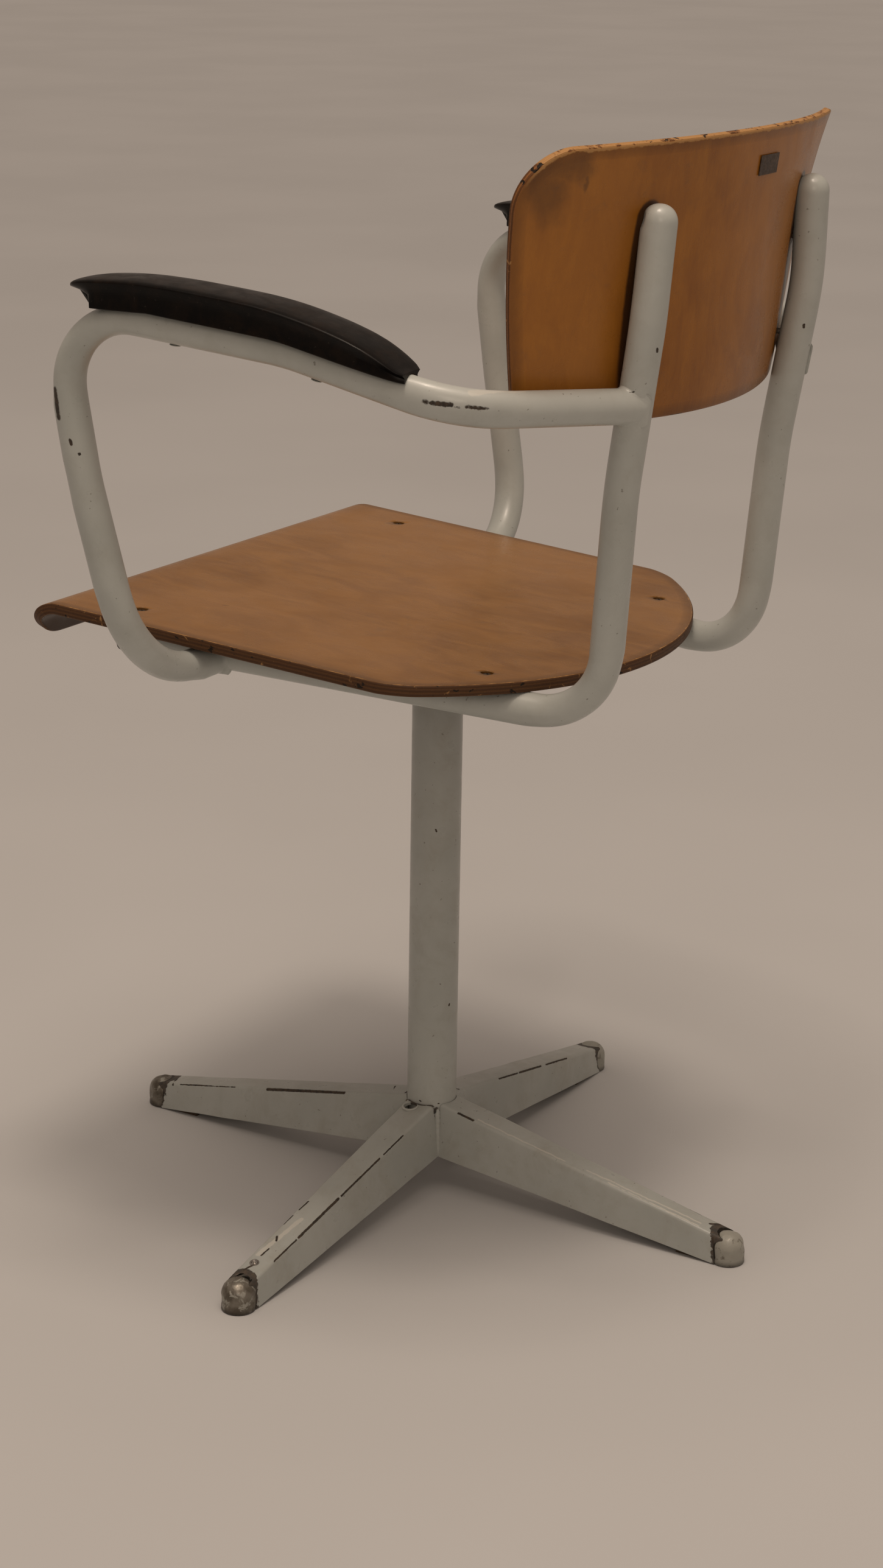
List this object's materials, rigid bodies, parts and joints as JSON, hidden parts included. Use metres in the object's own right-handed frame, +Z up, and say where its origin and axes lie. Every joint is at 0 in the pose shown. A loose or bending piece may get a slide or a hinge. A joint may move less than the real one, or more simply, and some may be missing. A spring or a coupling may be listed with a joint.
{
  "type": "swivel armchair",
  "caption": "Swivel armchair: pressed plywood seat and wrap-round backrest on a bent steel tube frame, rising arms with dark pads, and a slim column on a cross-shaped pressed steel base.",
  "frame": {"origin": "on the floor, on the axis of the centre column", "axes": "+Z up, -Y towards the front of the seat, +X towards the sitter's left"},
  "size_m": [0.6112, 0.5716, 0.8657],
  "materials": {
    "frame_paint": "satin light grey enamel, chipped and rubbed",
    "cap_steel": "worn, tarnished",
    "glide_plastic": "scuffed dark brown",
    "bush_nylon": "natural off-white",
    "washer_brass": "oiled",
    "bright_steel": "dull zinc plate",
    "spring_steel": "blackened spring steel",
    "plug_plastic": "moulded black",
    "pad_plastic": "black satin moulding, polished by hands",
    "seat_ply": "lacquered pressed plywood, worn satin",
    "back_ply": "lacquered pressed plywood, orange brown satin",
    "label_metal": "dark anodised, blank"
  },
  "bodies": {
    "base": {"column_tube": "frame_paint", "base_leg_left": "frame_paint", "base_leg_rear": "frame_paint", "base_leg_right": "frame_paint", "base_leg_front": "frame_paint", "foot_cap_left": "cap_steel", "foot_cap_rear": "cap_steel", "foot_cap_right": "cap_steel", "foot_cap_front": "cap_steel", "foot_glide_left": "glide_plastic", "foot_glide_rear": "glide_plastic", "foot_glide_right": "glide_plastic", "foot_glide_front": "glide_plastic", "lower_bush": "bush_nylon", "upper_bush": "bush_nylon"},
    "seat": {"thrust_washer": "washer_brass", "spindle": "bright_steel", "retaining_washer": "bright_steel", "spindle_circlip": "spring_steel", "carrier_plate": "frame_paint", "cross_beam_front": "frame_paint", "cross_beam_rear": "frame_paint", "side_frame_left": "frame_paint", "rail_plug_left": "plug_plastic", "arm_tube_left": "frame_paint", "arm_pad_left": "pad_plastic", "pad_screw_rear_left": "bright_steel", "pad_screw_front_left": "bright_steel", "side_frame_right": "frame_paint", "rail_plug_right": "plug_plastic", "arm_tube_right": "frame_paint", "arm_pad_right": "pad_plastic", "pad_screw_rear_right": "bright_steel", "pad_screw_front_right": "bright_steel", "seat_shell": "seat_ply", "seat_screw_rear_left": "bright_steel", "seat_screw_front_left": "bright_steel", "seat_screw_rear_right": "bright_steel", "seat_screw_front_right": "bright_steel", "backrest_shell": "back_ply", "back_screw_lower_left": "bright_steel", "back_screw_upper_left": "bright_steel", "back_screw_lower_right": "bright_steel", "back_screw_upper_right": "bright_steel", "label_plate": "label_metal"}
  },
  "joints": [
    {"name": "seat_swivel", "type": "hinge", "parent": "base", "child": "seat", "pos_m": [0, 0, 0.45], "axis": [0, 0, 1], "continuous": true}
  ]
}
